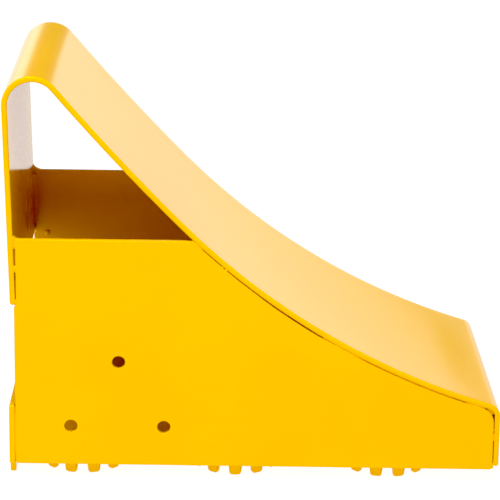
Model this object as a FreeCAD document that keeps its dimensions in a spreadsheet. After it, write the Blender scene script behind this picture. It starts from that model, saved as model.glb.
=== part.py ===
"""Welded steel wheel chock for a truck tyre.

One bent sheet makes the carrying handle, the curved tyre face and the toe.  Two side plates, a
base plate and a toothed heel plate close the body, and six toothed crowns bite into the ground.
Everything is joined by weld beads, so nothing on it moves.

Frame: +X points to the toe (the tyre comes from there), +Y to the left side, +Z up.  The origin is
on the ground, under the middle of the overall length and width.  Profiles are first laid out with
x = 0 on the heel edge of the side plates and z = 0 on their bottom edge, then placed.
"""
import FreeCAD, Part, Sketcher
import math
import os

from FreeCAD import Placement, Rotation, Vector

ALONG_WIDTH = Vector(0, 1, 0)
SHEET_NAME = "Dimensions"

# Every driving dimension: alias, value (mm, degrees or a count), meaning.
DIMENSIONS = [
    ("chock_width", 180.0, "over the outer faces of the side plates"),
    ("wall", 4.0, "thickness of every sheet and plate"),
    ("tyre_radius", 525.0, "radius of the tyre that the face is rolled to"),
    ("tyre_axle_x", 489.0, "axis of that tyre, from the heel edge"),
    ("tyre_axle_z", 553.9, "axis of that tyre, above the side plates' bottom edge"),
    ("upper_face_radius", 1650.0, "flatter upper stretch of the tyre face"),
    ("blend_slope", 45.0, "slope where the two stretches of the face meet"),
    ("handle_bend_radius", 21.0, "outer radius of the bend over the top"),
    ("handle_bend_x", 14.0, "axis of that bend, from the heel edge"),
    ("strap_lean", 1.65, "outward lean of the handle strap"),
    ("strap_length", 143.0, "straight length of the handle strap"),
    ("toe_bend_radius", 10.0, "outer radius of the toe bend"),
    ("toe_bend_x", 337.1, "axis of the toe bend, from the heel edge"),
    ("toe_lean", 1.2, "inward lean of the toe"),
    ("toe_length", 38.4, "straight length of the toe"),
    ("side_height", 169.1, "top edge of the side plates"),
    ("seam_gap", 0.9, "open gap between a side plate's edge and the bent sheet"),
    ("side_toe_corner", 12.0, "corner radius of a side plate at the toe"),
    ("side_heel_step", 1.4, "how far the heel edge steps in behind the strap"),
    ("side_step_height", 118.5, "height of that step"),
    ("side_bottom_corner", 2.0, "corner radius at the bottom of a side plate"),
    ("bolt_hole_radius", 4.65, "bolt holes in the side plates, drilled 3/8 inch, coated"),
    ("upper_hole_x", 73.5, "upper bolt hole"),
    ("upper_hole_z", 78.6, "upper bolt hole"),
    ("lower_hole_x", 39.6, "lower bolt hole nearer to the heel"),
    ("lower_hole_z", 29.5, "both lower bolt holes"),
    ("lower_hole_spacing", 66.4, "from one lower bolt hole to the other"),
    ("heel_gap", 0.5, "open gap between the heel plate and the side plates"),
    ("heel_plate_height", 44.5, "top edge of the heel plate"),
    ("heel_tooth_count", 6, "teeth along the heel plate"),
    ("heel_tooth_width", 12.0, "width of a heel tooth at its tip"),
    ("heel_tooth_inset", 8.0, "from the end of the heel plate to the first tooth"),
    ("heel_tooth_flank", 1.8, "extra width of a heel tooth at its root, each side"),
    ("tip_corner", 2.4, "corner radius at the tips of all teeth and the roots of the crowns'"),
    ("root_corner", 1.2, "corner radius between heel teeth and at the heel plate's corners"),
    ("base_clearance", 0.3, "fit of the base plate between its neighbours"),
    ("crown_drop", 10.0, "how far the teeth stand below the body"),
    ("crown_outer_radius", 33.0, "outside of a crown"),
    ("crown_wall", 4.0, "wall of the tube that a crown is cut from"),
    ("crown_tooth_count", 12, "teeth on a crown"),
    ("crown_tooth_width", 8.4, "width of a crown tooth at its tip"),
    ("crown_tooth_height", 7.6, "height of a crown tooth"),
    ("crown_tooth_flank", 0.9, "extra width of a crown tooth at its root, each side"),
    ("crown_inset", 40.0, "from a side plate's outer face to the middle of a crown"),
    ("first_crown_x", 47.5, "heel-end crowns"),
    ("crown_spacing", 110.5, "from one pair of crowns to the next"),
    ("weld_leg", 4.5, "leg of the fillet welds"),
    ("strap_weld_leg", 1.8, "legs of the slimmer weld between the strap and a side plate"),
    ("crown_weld_leg", 2.2, "leg of the ring welds around the crowns"),
    ("stitch_length", 26.0, "length of one stitch of weld"),
    ("cusp_radius", 4.5, "hollow weld where the strap meets a side plate's top edge"),
]


def make_dimensions(doc):
    """Fill the spreadsheet and return it."""
    cells = doc.addObject("Spreadsheet::Sheet", SHEET_NAME)
    for row, (alias, value, meaning) in enumerate(DIMENSIONS, start=1):
        cells.set(f"A{row}", alias)
        cells.set(f"B{row}", str(value))
        cells.set(f"C{row}", meaning)
        cells.setAlias(f"B{row}", alias)
    doc.recompute()
    return cells


def polar(centre, radius, degrees):
    """Point in the side view, its angle measured from +X towards +Z."""
    angle = math.radians(degrees)
    return centre + Vector(radius * math.cos(angle), 0, radius * math.sin(angle))


def line(start, end):
    return Part.makeLine(start, end)


def arc(centre, radius, start, end):
    """Arc in the side view between two angles in degrees."""
    middle = (start + end) / 2
    points = [polar(centre, radius, angle) for angle in (start, middle, end)]
    return Part.Arc(*points).toShape()


def bearing(start, end):
    """Direction from one point to another in the side view, in degrees."""
    return math.degrees(math.atan2(end.z - start.z, end.x - start.x))


def closed_face(edges):
    """Face inside a closed run of edges."""
    return Part.Face(Part.Wire(Part.__sortEdges__(edges)))


def rounded_outline(corners):
    """Closed run of lines and arcs round corners that are given as (point, radius)."""
    points = [point for point, _ in corners]
    arcs, arrivals, departures = [], [], []
    for index, (point, radius) in enumerate(corners):
        back = (points[index - 1] - point).normalize()
        ahead = (points[(index + 1) % len(points)] - point).normalize()
        half = back.getAngle(ahead) / 2
        reach = radius / math.tan(half)
        arrivals.append(point + back * reach)
        departures.append(point + ahead * reach)
        if radius:
            bisector = (back + ahead).normalize()
            middle = point + bisector * (radius / math.sin(half) - radius)
            arcs.append(Part.Arc(arrivals[-1], middle, departures[-1]))
    lines = [
        Part.LineSegment(start, end)
        for start, end in zip(departures, arrivals[1:] + arrivals[:1])
    ]
    return lines + arcs


class Layout:
    """Centres, angles and directions that the side-view profiles share."""

    def __init__(self, cells):
        self.d = cells
        slope = cells.blend_slope
        self.tyre = Vector(cells.tyre_axle_x, 0, cells.tyre_axle_z)
        self.upper = polar(self.tyre, cells.upper_face_radius - cells.tyre_radius, 90 - slope)
        self.blend_angle = 270 - slope

        reach = cells.upper_face_radius + cells.handle_bend_radius
        self.handle = self.below(self.upper, reach, cells.handle_bend_x)
        self.handle_bearing = bearing(self.handle, self.upper)

        reach = cells.tyre_radius + cells.toe_bend_radius
        self.toe = self.below(self.tyre, reach, cells.toe_bend_x)
        self.toe_bearing = bearing(self.toe, self.tyre)

        self.strap_out = 180 + cells.strap_lean
        self.strap_down = polar(Vector(), 1, self.strap_out + 90)
        self.toe_out = cells.toe_lean
        self.toe_down = polar(Vector(), 1, self.toe_out - 90)

        left = self.handle.x - cells.handle_bend_radius
        right = self.toe_end(0).x
        self.shift = Vector(-(left + right) / 2, 0, cells.crown_drop)

    @staticmethod
    def below(centre, reach, x):
        """Point at the given x and distance, under a centre."""
        return Vector(x, 0, centre.z - math.sqrt(reach**2 - (centre.x - x) ** 2))

    def strap_top(self, depth):
        """Upper end of the strap's straight stretch, at a depth below its outer face."""
        return polar(self.handle, self.d.handle_bend_radius - depth, self.strap_out)

    def strap_end(self, depth):
        return self.strap_top(depth) + self.strap_down * self.d.strap_length

    def toe_top(self, depth):
        """Upper end of the toe's straight stretch, at a depth below its outer face."""
        return polar(self.toe, self.d.toe_bend_radius - depth, self.toe_out)

    def toe_end(self, depth):
        return self.toe_top(depth) + self.toe_down * self.d.toe_length

    def strap_at(self, depth, z):
        """Point on the strap at a depth below its outer face and a height."""
        top = self.strap_top(depth)
        return top + self.strap_down * ((z - top.z) / self.strap_down.z)

    def toe_at(self, depth, z):
        """Point on the toe at a depth below its outer face and a height."""
        top = self.toe_top(depth)
        return top + self.toe_down * ((z - top.z) / self.toe_down.z)

    def sheet_edges(self, depth):
        """Side view of the bent sheet at a depth below its outer face, strap end to toe end."""
        d = self.d
        lower_angle = self.toe_bearing + 180
        return [
            line(self.strap_end(depth), self.strap_top(depth)),
            arc(self.handle, d.handle_bend_radius - depth, self.strap_out, self.handle_bearing),
            arc(self.upper, d.upper_face_radius + depth, self.handle_bearing + 180, self.blend_angle),
            arc(self.tyre, d.tyre_radius + depth, self.blend_angle, lower_angle),
            arc(self.toe, d.toe_bend_radius - depth, self.toe_bearing, self.toe_out),
            line(self.toe_top(depth), self.toe_end(depth)),
        ]

    def sheet_face(self):
        edges = self.sheet_edges(0) + self.sheet_edges(self.d.wall)
        edges.append(line(self.strap_end(0), self.strap_end(self.d.wall)))
        edges.append(line(self.toe_end(0), self.toe_end(self.d.wall)))
        return closed_face(edges)

    def corner_centre(self, depth, radius):
        """Centre of a corner that touches the face and the toe, both at a depth."""
        out = polar(Vector(), 1, self.toe_out)
        start = self.toe + out * (self.d.toe_bend_radius - depth - radius)
        away = start - self.tyre
        reach = self.d.tyre_radius + depth + radius
        along = away.dot(self.toe_down)
        return start + self.toe_down * (math.sqrt(along**2 - away.dot(away) + reach**2) - along)

    def side_face(self):
        """Outline of a side plate, which stays a seam gap inside the bent sheet."""
        d = self.d
        depth = d.wall + d.seam_gap
        radius = d.side_toe_corner
        small = d.side_bottom_corner
        corner = self.corner_centre(depth, radius)
        reach = d.tyre_radius + depth
        rise = self.tyre.z - d.side_height
        face_top = Vector(self.tyre.x - math.sqrt(reach**2 - rise**2), 0, d.side_height)
        toe_foot = self.toe_at(depth, small)
        heel_corner = Vector(small, 0, small)
        toe_corner = Vector(toe_foot.x - small, 0, small)
        top_left = Vector(d.side_heel_step, 0, d.side_height)
        step_top = Vector(d.side_heel_step, 0, d.side_step_height + d.side_heel_step)
        step_foot = Vector(0, 0, d.side_step_height)
        return closed_face(
            [
                arc(heel_corner, small, 180, 270),
                line(Vector(small, 0, 0), Vector(toe_corner.x, 0, 0)),
                arc(toe_corner, small, 270, 360),
                line(toe_foot, polar(corner, radius, self.toe_out)),
                arc(corner, radius, self.toe_out, bearing(corner, self.tyre)),
                arc(self.tyre, reach, bearing(self.tyre, corner), bearing(self.tyre, face_top)),
                line(face_top, top_left),
                line(top_left, step_top),
                line(step_top, step_foot),
                line(step_foot, Vector(0, 0, small)),
            ]
        )


def bind(thing, **expressions):
    """Tie properties to spreadsheet cells; double underscores stand for dots."""
    for name, expression in expressions.items():
        thing.setExpression(name.replace("__", "."), expression)


def add_profile(doc, name, face):
    profile = doc.addObject("Part::Feature", name)
    profile.Shape = face
    return profile


def add_extrusion(doc, name, face, direction, length):
    """Solid of a flat face pushed along a direction, its length tied to a cell."""
    solid = doc.addObject("Part::Extrusion", name)
    solid.Base = add_profile(doc, name + "_profile", face)
    solid.DirMode = "Custom"
    solid.Dir = direction
    solid.Solid = True
    bind(solid, LengthFwd=length)
    return solid


def place(part, label, position, turn=0.0):
    """Name a sub-part and put it in the chock's frame."""
    part.Label = label
    part.Placement = Placement(position, Rotation(Vector(0, 0, 1), turn))
    return part


def make_bent_sheet(doc, layout):
    name = "face_and_handle_sheet"
    sheet = add_extrusion(doc, name, layout.sheet_face(), ALONG_WIDTH, f"{SHEET_NAME}.chock_width")
    return place(sheet, name, layout.shift - ALONG_WIDTH * layout.d.chock_width / 2)


def make_side_plate(doc, layout, side, near_y):
    """Side plate whose lower-Y face lies at near_y."""
    name = f"side_plate_{side}"
    blank = add_extrusion(doc, name + "_blank", layout.side_face(), ALONG_WIDTH, f"{SHEET_NAME}.wall")
    upper = (f"{SHEET_NAME}.upper_hole_x", f"{SHEET_NAME}.upper_hole_z")
    heel = (f"{SHEET_NAME}.lower_hole_x", f"{SHEET_NAME}.lower_hole_z")
    toe = (f"{heel[0]} + {SHEET_NAME}.lower_hole_spacing", heel[1])
    drills = []
    for index, (x_cell, z_cell) in enumerate((upper, heel, toe), start=1):
        drill = doc.addObject("Part::Cylinder", f"{name}_drill_{index}")
        drill.Placement = Placement(Vector(), Rotation(Vector(1, 0, 0), -90))
        bind(
            drill,
            Radius=f"{SHEET_NAME}.bolt_hole_radius",
            Height=f"{SHEET_NAME}.wall * 3",
            Placement__Base__x=x_cell,
            Placement__Base__y=f"-{SHEET_NAME}.wall",
            Placement__Base__z=z_cell,
        )
        drills.append(drill)
    holes = doc.addObject("Part::MultiFuse", name + "_holes")
    holes.Shapes = drills
    plate = doc.addObject("Part::Cut", name)
    plate.Base = blank
    plate.Tool = holes
    return place(plate, name, layout.shift + ALONG_WIDTH * near_y)


def base_span(layout):
    """Heel end and toe end of the base plate."""
    d = layout.d
    return d.base_clearance, layout.toe_at(d.wall, 0).x - d.base_clearance


def make_base_plate(doc, layout):
    """Flat plate between the side plates, flush with their bottom edges."""
    start, end = base_span(layout)
    plate = doc.addObject("Part::Box", "base_plate")
    plate.Length = end - start
    half = f"({SHEET_NAME}.chock_width / 2 - {SHEET_NAME}.wall - {SHEET_NAME}.base_clearance)"
    bind(plate, Width=f"2 * {half}", Height=f"{SHEET_NAME}.wall")
    place(plate, "base_plate", layout.shift + Vector(start, 0, 0))
    bind(plate, Placement__Base__y=f"-{half}")
    return plate


def tooth_corners(middle, d):
    """Root, tip, tip and root of one heel tooth, each with its corner radius."""
    tip_half = d.heel_tooth_width / 2
    root_half = tip_half + d.heel_tooth_flank
    return [
        (Vector(0, middle - root_half, 0), d.root_corner),
        (Vector(0, middle - tip_half, -d.crown_drop), d.tip_corner),
        (Vector(0, middle + tip_half, -d.crown_drop), d.tip_corner),
        (Vector(0, middle + root_half, 0), d.root_corner),
    ]


def make_heel_plate(doc, layout):
    """Upright plate across the heel, with rounded teeth along its lower edge."""
    d = layout.d
    half = d.chock_width / 2
    count = int(d.heel_tooth_count)
    first = -half + d.heel_tooth_inset + d.heel_tooth_width / 2
    pitch = -2 * first / (count - 1)
    top = d.heel_plate_height
    corners = [(Vector(0, -half, top), d.root_corner), (Vector(0, -half, 0), d.root_corner)]
    for index in range(count):
        corners += tooth_corners(first + index * pitch, d)
    corners += [(Vector(0, half, 0), d.root_corner), (Vector(0, half, top), d.root_corner)]
    face = closed_face([curve.toShape() for curve in rounded_outline(corners)])
    plate = add_extrusion(doc, "heel_plate", face, Vector(-1, 0, 0), f"{SHEET_NAME}.wall")
    return place(plate, "heel_plate", layout.shift - Vector(d.heel_gap, 0, 0))


def origin_plane(body, role):
    """One of the body's own origin planes."""
    return next(plane for plane in body.Origin.OriginFeatures if plane.Role == role)


def add_sketch(body, name, role):
    sketch = body.newObject("Sketcher::SketchObject", name)
    sketch.AttachmentSupport = [(origin_plane(body, role), "")]
    sketch.MapMode = "FlatFace"
    return sketch


def draw_circle(sketch, label, expression):
    """Circle about the sketch's origin with its radius tied to a cell."""
    circle = sketch.addGeometry(Part.Circle(Vector(), Vector(0, 0, 1), 10.0))
    sketch.addConstraint(Sketcher.Constraint("Coincident", circle, 3, -1, 1))
    radius = sketch.addConstraint(Sketcher.Constraint("Radius", circle, 10.0))
    sketch.renameConstraint(radius, label)
    sketch.setExpression("Constraints." + label, expression)


def notch_corners(d):
    """Corners of the gap between two crown teeth, in the sketch's own plane."""
    pitch = 2 * d.crown_outer_radius * math.sin(math.pi / d.crown_tooth_count)
    at_tip = (pitch - d.crown_tooth_width) / 2
    at_root = at_tip - d.crown_tooth_flank
    beyond = at_tip + d.tip_corner
    tip = -d.crown_drop
    root = tip + d.crown_tooth_height
    below = tip - d.tip_corner
    return [
        (Vector(-at_root, root, 0), d.tip_corner),
        (Vector(at_root, root, 0), d.tip_corner),
        (Vector(at_tip, tip, 0), d.tip_corner),
        (Vector(beyond, tip, 0), 0),
        (Vector(beyond, below, 0), 0),
        (Vector(-beyond, below, 0), 0),
        (Vector(-beyond, tip, 0), 0),
        (Vector(-at_tip, tip, 0), d.tip_corner),
    ]


def make_crown(doc, layout, label, position, turn):
    """Short length of tube with teeth cut into its lower end, standing point down."""
    d = layout.d
    body = doc.addObject("PartDesign::Body", label)

    ring = add_sketch(body, label + "_ring", "XY_Plane")
    draw_circle(ring, "outside", f"{SHEET_NAME}.crown_outer_radius")
    draw_circle(ring, "inside", f"{SHEET_NAME}.crown_outer_radius - {SHEET_NAME}.crown_wall")
    tube = body.newObject("PartDesign::Pad", label + "_tube")
    tube.Profile = ring
    tube.Reversed = True
    bind(tube, Length=f"{SHEET_NAME}.crown_drop")

    gap = add_sketch(body, label + "_gap", "XZ_Plane")
    for curve in rounded_outline(notch_corners(d)):
        gap.addGeometry(curve)
    notch = body.newObject("PartDesign::Pocket", label + "_notch")
    notch.Profile = gap
    notch.Type = "Length"
    notch.Reversed = False
    bind(notch, Length=f"{SHEET_NAME}.crown_outer_radius * 1.2")

    ring_of_notches = body.newObject("PartDesign::PolarPattern", label + "_teeth")
    ring_of_notches.Originals = [notch]
    ring_of_notches.Axis = (ring, ["N_Axis"])
    ring_of_notches.Angle = 360.0
    bind(ring_of_notches, Occurrences=f"{SHEET_NAME}.crown_tooth_count")
    body.Tip = ring_of_notches
    doc.recompute()

    full = math.pi * (d.crown_outer_radius**2 - (d.crown_outer_radius - d.crown_wall) ** 2)
    if not 0.4 < body.Shape.Volume / (full * d.crown_drop) < 0.75:
        raise RuntimeError(f"{label}: the notches did not cut the ring as meant")
    return place(body, label, position, turn)


def make_crowns(doc, layout):
    """Two rows of three crowns under the base plate; the middle pair is turned by half a tooth."""
    d = layout.d
    row = d.chock_width / 2 - d.crown_inset
    half_tooth = 180.0 / d.crown_tooth_count
    crowns = []
    for side, y in (("right", -row), ("left", row)):
        for index, name in enumerate(("heel", "middle", "toe")):
            x = d.first_crown_x + index * d.crown_spacing
            turn = half_tooth if name == "middle" else 0.0
            position = layout.shift + Vector(x, y, 0)
            crowns.append(make_crown(doc, layout, f"grip_crown_{name}_{side}", position, turn))
    return crowns


def bead_section(corner, first, second):
    """Section of a slightly crowned fillet weld with its legs along two vectors."""
    crown = corner + (first + second) * 0.58
    return Part.Face(
        Part.Wire(
            [
                line(corner, corner + first),
                Part.Arc(corner + first, crown, corner + second).toShape(),
                line(corner + second, corner),
            ]
        )
    )


def straight_bead(corner, first, second, run):
    return bead_section(corner, first, second).extrude(run)


def stitches(start, end, length, count):
    """Start positions of evenly spread stitches between two places."""
    step = (end - start - length) / (count - 1)
    return [start + index * step for index in range(count)]


def face_seam_beads(layout, wall_y, inward):
    """Stitches inside the body, between a side plate and the underside of the tyre face."""
    d = layout.d
    radius = d.tyre_radius + d.wall
    sweep = math.degrees(d.stitch_length / radius)
    low, high = bearing(layout.tyre, Vector(136, 0, 160)), bearing(layout.tyre, Vector(318, 0, 55))
    beads = []
    for start in stitches(low, high, sweep, 5):
        corner = polar(layout.tyre, radius, start) + Vector(0, wall_y, 0)
        away = polar(Vector(), d.weld_leg + d.seam_gap, start)
        section = bead_section(corner, away, Vector(0, inward * d.weld_leg, 0))
        beads.append(section.revolve(layout.tyre, -ALONG_WIDTH, sweep))
    return beads


def toe_beads(layout, wall_y, inward):
    """Bead inside the body, between a side plate and the toe."""
    d = layout.d
    corner = layout.toe_at(d.wall, 30) + Vector(0, wall_y, 0)
    away = polar(Vector(), -(d.weld_leg + d.seam_gap), layout.toe_out)
    run = layout.toe_down * 20
    return [straight_bead(corner, away, Vector(0, inward * d.weld_leg, 0), run)]


def strap_beads(layout, wall_y, inward):
    """Welds of one side plate to the strap: a slim one down the inside and the hollow one on top."""
    d = layout.d
    away = polar(Vector(), -(d.strap_weld_leg + d.side_heel_step), layout.strap_out)
    width = Vector(0, inward * d.strap_weld_leg, 0)
    corner = layout.strap_at(d.wall, d.side_height - 3) + Vector(0, wall_y, 0)
    run = layout.strap_down * (corner.z - layout.strap_end(d.wall).z - 3)
    slim = straight_bead(corner, away, width, run)

    foot = layout.strap_at(d.wall, d.side_height)
    head = layout.strap_at(d.wall, d.side_height + d.cusp_radius)
    end = Vector(d.side_heel_step + d.cusp_radius, 0, d.side_height)
    hollow = foot + (head - foot + end - foot) * 0.38
    edges = [line(foot, head), Part.Arc(head, hollow, end).toShape(), line(end, foot)]
    outer = Vector(0, wall_y - inward * d.wall, 0)
    cusp = closed_face(edges).extrude(Vector(0, inward * d.wall, 0))
    cusp.translate(outer)
    return [slim, cusp]


def heel_beads(layout, wall_y, inward):
    """Bead inside the body, between a side plate and the heel plate."""
    d = layout.d
    corner = Vector(-d.heel_gap, wall_y, d.wall + 4)
    first = Vector(d.weld_leg + d.heel_gap, 0, 0)
    second = Vector(0, inward * d.weld_leg, 0)
    return [straight_bead(corner, first, second, Vector(0, 0, 32))]


def base_beads(layout, wall_y, inward):
    """Stitches on top of the base plate, along a side plate."""
    d = layout.d
    start, end = base_span(layout)
    up = Vector(0, 0, d.weld_leg)
    across = Vector(0, inward * (d.weld_leg + d.base_clearance), 0)
    run = Vector(d.stitch_length, 0, 0)
    places = stitches(start + 12, end - 12, d.stitch_length, 6)
    return [straight_bead(Vector(x, wall_y, d.wall), up, across, run) for x in places]


def base_end_beads(layout):
    """Stitches on top of the base plate, along the heel plate and along the toe."""
    d = layout.d
    start, end = base_span(layout)
    up = Vector(0, 0, d.weld_leg)
    run = Vector(0, d.stitch_length, 0)
    reach = d.chock_width / 2 - d.wall - 2 * d.weld_leg
    heel_x = -d.heel_gap
    toe_foot = layout.toe_at(d.wall, d.wall)
    toe_up = layout.toe_down * -d.weld_leg
    toe_reach = Vector(end - toe_foot.x - d.weld_leg, 0, 0)
    heel, toe = [], []
    for y in stitches(-reach, reach, d.stitch_length, 3):
        corner = Vector(heel_x, y, d.wall)
        across = Vector(start - heel_x + d.weld_leg, 0, 0)
        heel.append(straight_bead(corner, up, across, run))
        toe.append(straight_bead(toe_foot + Vector(0, y, 0), toe_up, toe_reach, run))
    return heel, toe


def crown_beads(layout):
    """Ring weld around the outside of each crown, under the base plate."""
    d = layout.d
    row = d.chock_width / 2 - d.crown_inset
    out = Vector(d.crown_weld_leg, 0, 0)
    down = Vector(0, 0, -d.crown_weld_leg)
    beads = []
    for y in (-row, row):
        for index in range(3):
            centre = Vector(d.first_crown_x + index * d.crown_spacing, y, 0)
            corner = centre + Vector(d.crown_outer_radius, 0, 0)
            ring = bead_section(corner, out, down).revolve(centre, Vector(0, 0, 1), 360)
            beads.append(ring)
    return beads


def add_beads(doc, layout, label, solids):
    """One node that holds a group of separate weld beads."""
    group = doc.addObject("Part::Feature", label)
    group.Shape = Part.makeCompound([Part.Solid(solid) for solid in solids])
    return place(group, label, layout.shift)


def make_welds(doc, layout):
    wall_y = layout.d.chock_width / 2 - layout.d.wall
    groups = {
        "face_seam_welds": face_seam_beads,
        "toe_weld": toe_beads,
        "strap_welds": strap_beads,
        "heel_plate_weld": heel_beads,
        "base_plate_welds": base_beads,
    }
    welds = []
    for side, sign in (("right", -1), ("left", 1)):
        for name, make in groups.items():
            solids = make(layout, sign * wall_y, -sign)
            welds.append(add_beads(doc, layout, f"{name}_{side}", solids))
    heel, toe = base_end_beads(layout)
    welds.append(add_beads(doc, layout, "base_to_heel_welds", heel))
    welds.append(add_beads(doc, layout, "base_to_toe_welds", toe))
    welds.append(add_beads(doc, layout, "crown_ring_welds", crown_beads(layout)))
    return welds


def check(doc, parts):
    """Stop if any object failed or any sub-part has no valid shape."""
    doc.recompute()
    for thing in doc.Objects:
        if "Invalid" in thing.State or "Error" in thing.State:
            raise RuntimeError(f"{thing.Label} failed: {thing.State}")
    for part in parts:
        if part.Shape.isNull() or not part.Shape.isValid():
            raise RuntimeError(f"{part.Label} has no valid shape")


def main():
    doc = FreeCAD.newDocument("wheel_chock")
    layout = Layout(make_dimensions(doc))
    half = layout.d.chock_width / 2
    parts = [
        make_bent_sheet(doc, layout),
        make_side_plate(doc, layout, "right", -half),
        make_side_plate(doc, layout, "left", half - layout.d.wall),
        make_base_plate(doc, layout),
        make_heel_plate(doc, layout),
    ]
    parts += make_crowns(doc, layout)
    parts += make_welds(doc, layout)
    check(doc, parts)
    os.makedirs("parts", exist_ok=True)
    for part in parts:
        part.Shape.exportStep(f"parts/{part.Label}.step")
        size = part.Shape.BoundBox
        print(f"{part.Label}: {len(part.Shape.Solids)} solids, {part.Shape.Volume:.0f} mm3, "
              f"x {size.XMin:.1f}..{size.XMax:.1f}, z {size.ZMin:.1f}..{size.ZMax:.1f}")


main()
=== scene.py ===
import math
import random

import bmesh
import bpy
from mathutils import Matrix, Vector
from mathutils.geometry import tessellate_polygon


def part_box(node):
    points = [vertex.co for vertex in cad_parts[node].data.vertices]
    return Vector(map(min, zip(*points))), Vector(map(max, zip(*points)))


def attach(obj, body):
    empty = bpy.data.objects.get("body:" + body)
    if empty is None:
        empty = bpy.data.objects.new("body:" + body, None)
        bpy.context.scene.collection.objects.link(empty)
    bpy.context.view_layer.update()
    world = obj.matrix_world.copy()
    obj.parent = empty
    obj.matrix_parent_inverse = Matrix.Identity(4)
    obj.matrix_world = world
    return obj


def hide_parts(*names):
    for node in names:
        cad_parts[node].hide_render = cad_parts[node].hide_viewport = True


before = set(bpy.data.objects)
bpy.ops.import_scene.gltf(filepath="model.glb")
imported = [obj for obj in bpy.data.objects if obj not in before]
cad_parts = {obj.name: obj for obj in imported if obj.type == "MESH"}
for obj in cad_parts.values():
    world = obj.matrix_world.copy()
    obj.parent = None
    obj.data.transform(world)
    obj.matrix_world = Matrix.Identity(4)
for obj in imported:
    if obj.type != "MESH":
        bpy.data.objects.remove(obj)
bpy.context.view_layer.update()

# A welded steel wheel chock, built around its CAD frame.  Sizes are in millimetres until a mesh is
# made.  Side-view points are (x, z) with x = 0 on the side plates' heel edge and z = 0 on their
# bottom edge.

MM = 0.001
scene = bpy.context.scene

# ---------------------------------------------------------------- sizes taken from the frame


def box_mm(node):
    """Lowest and highest corner of a CAD node, in millimetres."""
    low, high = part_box(node)
    return low / MM, high / MM


PLATE_LOW, PLATE_HIGH = box_mm("side_plate_right")
HEEL_LOW, HEEL_HIGH = box_mm("heel_plate")
BASE_LOW, BASE_HIGH = box_mm("base_plate")
ORIGIN_X = PLATE_LOW.x
ORIGIN_Z = PLATE_LOW.z
HALF_WIDTH = box_mm("face_and_handle_sheet")[1].y
WALL = PLATE_HIGH.y - PLATE_LOW.y
SIDE_HEIGHT = PLATE_HIGH.z - PLATE_LOW.z
INNER_Y = HALF_WIDTH - WALL
CROWN_DROP = ORIGIN_Z

# ---------------------------------------------------------------- the driving dimensions

TYRE_RADIUS = 525.0
TYRE_AXLE = Vector((489.0, 553.9))
UPPER_RADIUS = 1650.0
BLEND_ANGLE = 225.0
HANDLE_RADIUS = 21.0
HANDLE_X = 14.0
STRAP_OUT = 181.65
STRAP_LENGTH = 143.0
TOE_RADIUS = 10.0
TOE_X = 337.1
TOE_OUT = 1.2
TOE_LENGTH = 38.4
SEAM_GAP = 0.9
TOE_GAP = 0.4
PLATE_TOE_CORNER = 12.0
PLATE_HEEL_STEP = 1.4
PLATE_STEP_HEIGHT = 118.5
PLATE_BOTTOM_CORNER = 2.0
HOLE_RADIUS = 4.65
HOLES = (Vector((73.5, 78.6)), Vector((39.6, 29.5)), Vector((106.0, 29.5)))
HEEL_TEETH = 6
HEEL_TOOTH_WIDTH = 12.0
HEEL_TOOTH_INSET = 8.0
HEEL_TOOTH_FLANK = 1.8
HEEL_ROOT_CORNER = 1.2
TIP_CORNER = 2.4
CROWN_RADIUS = 33.0
CROWN_WALL = 4.0
CROWN_TEETH = 12
CROWN_TOOTH_WIDTH = 8.4
CROWN_TOOTH_HEIGHT = 7.6
CROWN_TOOTH_FLANK = 0.9
WELD_LEG = 4.5
STRAP_BEAD_INWARD = 1.26
STRAP_BEAD_AWAY = 2.3
STRAP_BEAD_RIPPLE = 0.03
CROWN_WELD_LEG = 2.2
CROWN_RIPPLES = 110
STITCH = 26.0
WELD_SEED = 7

# Where the inside beads run: along the face between two points, then by z, length and clearance.
SEAM_TOP = Vector((136.0, 160.0))
SEAM_FOOT = Vector((318.0, 55.0))
TOE_BEAD_TOP = 30.0
TOE_BEAD_LENGTH = 20.0
STRAP_BEAD_TOP_CLEAR = 3.0
STRAP_BEAD_END_CLEAR = 5.0
HEEL_BEAD_FOOT = 4.0
HEEL_BEAD_LENGTH = 32.0
BASE_BEAD_CLEAR = 12.0

# The open seam under the tyre face: from x, to x, gap at the start and gap at the end.
SEAM_RUNS = (
    (130.0, 165.0, 0.35, 0.5),
    (165.0, 185.0, 0.5, 0.95),
    (185.0, 214.0, 0.95, 0.95),
    (214.0, 222.0, 0.95, 0.4),
    (222.0, 238.0, 0.4, 0.4),
    (238.0, 246.0, 0.4, 0.65),
    (246.0, 337.0, 0.65, 0.65),
)

# Where weld closes an open seam: from and to, by x under the face and by z elsewhere.
FACE_CLOSED = ((124.5, 132.0), (145.3, 146.4), (147.4, 149.5), (321.5, 336.0))
FACE_SHALLOW = (218.0, 248.0)
FACE_DEEPER = (244.0, 326.0)
TOE_CLOSED = ((30.0, 31.2), (21.6, 28.0), (6.9, 7.8), (0.5, 5.6))
STRAP_CLOSED = ((161.3, 169.7), (144.2, 149.6))
STRAP_CLOSED_LOW = {-1: (119.9, 124.6), 1: (119.0, 131.0)}
HEEL_CLOSED = (1, 44)
BRIDGE_DEPTH = 1.3
BRIDGE_OVERLAP = 0.5
STRAP_BRIDGE_ACROSS = 1.5
STRAP_BRIDGE_DEPTH = 1.4

# How far closed stretches lie below the side plate's outer face.
BRIDGE_RECESS = 0.15
SHALLOW_RECESS = 0.5
DEEPER_RECESS = 1.3
HEEL_RECESS = 0.25

# The sunk weld in the crescent between the toe bend and the side plate's corner.
CRESCENT_DEPTH = 1.2
CRESCENT_LEAD = 16
CRESCENT_TURN = 80
CRESCENT_STEPS = 20
CRESCENT_ACROSS = 2.4
CRESCENT_THICK = 1.4
CRESCENT_RECESS = 1.5

# The hollow bead on a side plate's top edge, by side: -1 is the near plate, 1 the far one.
CUSP_SIZE = {-1: 2.4, 1: 4.5}
CUSP_HOLLOW = 0.26

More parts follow.
